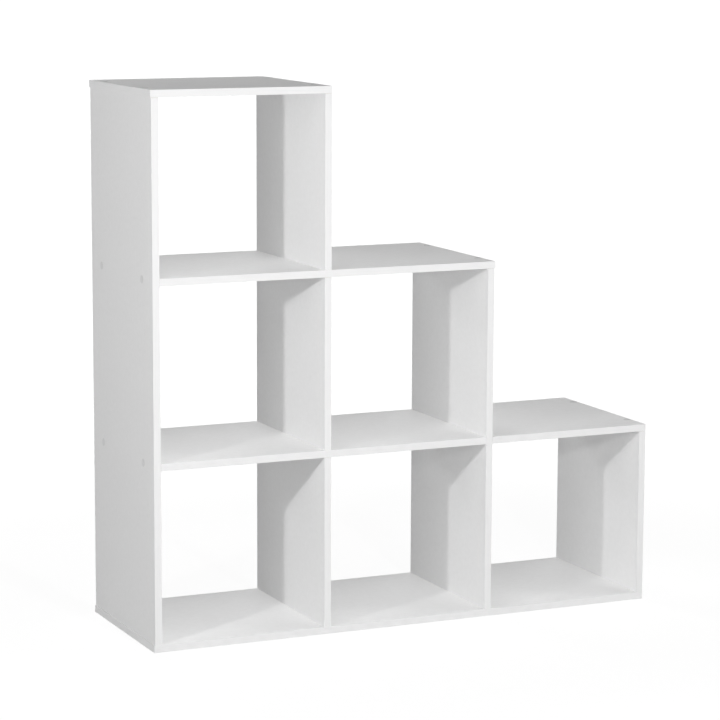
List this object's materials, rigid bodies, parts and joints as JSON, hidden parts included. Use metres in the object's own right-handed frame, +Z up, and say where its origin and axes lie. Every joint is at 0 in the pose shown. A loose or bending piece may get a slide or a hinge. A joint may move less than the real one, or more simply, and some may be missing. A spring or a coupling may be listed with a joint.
{
  "type": "staircase bookshelf",
  "caption": "Free-standing staircase bookshelf of white boards with square open bays, stepping down from a tall column at the left to a low one at the right.",
  "frame": {"origin": "on the floor, below the middle of the shelf's width and depth", "axes": "+X from the tall column to the low one (to the right as seen from the front), +Y from the front to the back, +Z up"},
  "size_m": [0.9, 0.29, 0.9004],
  "materials": {
    "melamine_board": "chipboard faced with white melamine, fine matt texture",
    "edge_band": "smooth white edge band, satin",
    "cover_disc": "self-adhesive disc, off-white, matt",
    "zinc_plated_steel": "bright zinc plating",
    "beech_dowel": "raw beech, grooved"
  },
  "bodies": {
    "root": {"bottom_board": "melamine_board", "lower_shelf": "melamine_board", "low_step_board": "melamine_board", "upper_shelf": "melamine_board", "top_board": "melamine_board", "left_side_panel": "melamine_board", "lower_divider": "melamine_board", "middle_divider": "melamine_board", "upper_divider": "melamine_board", "tall_divider": "melamine_board", "right_side_panel": "melamine_board", "edge_bands_bottom_board": "edge_band", "edge_bands_lower_shelf": "edge_band", "edge_bands_low_step_board": "edge_band", "edge_bands_upper_shelf": "edge_band", "edge_bands_top_board": "edge_band", "edge_bands_left_side_panel": "edge_band", "edge_bands_lower_divider": "edge_band", "edge_bands_middle_divider": "edge_band", "edge_bands_upper_divider": "edge_band", "edge_bands_tall_divider": "edge_band", "edge_bands_right_side_panel": "edge_band", "cover_discs_left_side_panel": "cover_disc", "cover_discs_low_step_board": "cover_disc", "cover_discs_upper_shelf": "cover_disc", "cover_discs_top_board": "cover_disc", "screws_bottom_board": "zinc_plated_steel", "screws_left_side_panel": "zinc_plated_steel", "screws_low_step_board": "zinc_plated_steel", "screws_upper_shelf": "zinc_plated_steel", "screws_top_board": "zinc_plated_steel", "dowels_lower_crossing": "beech_dowel", "dowels_upper_crossing": "beech_dowel", "dowels_side_crossing": "beech_dowel"}
  },
  "joints": []
}
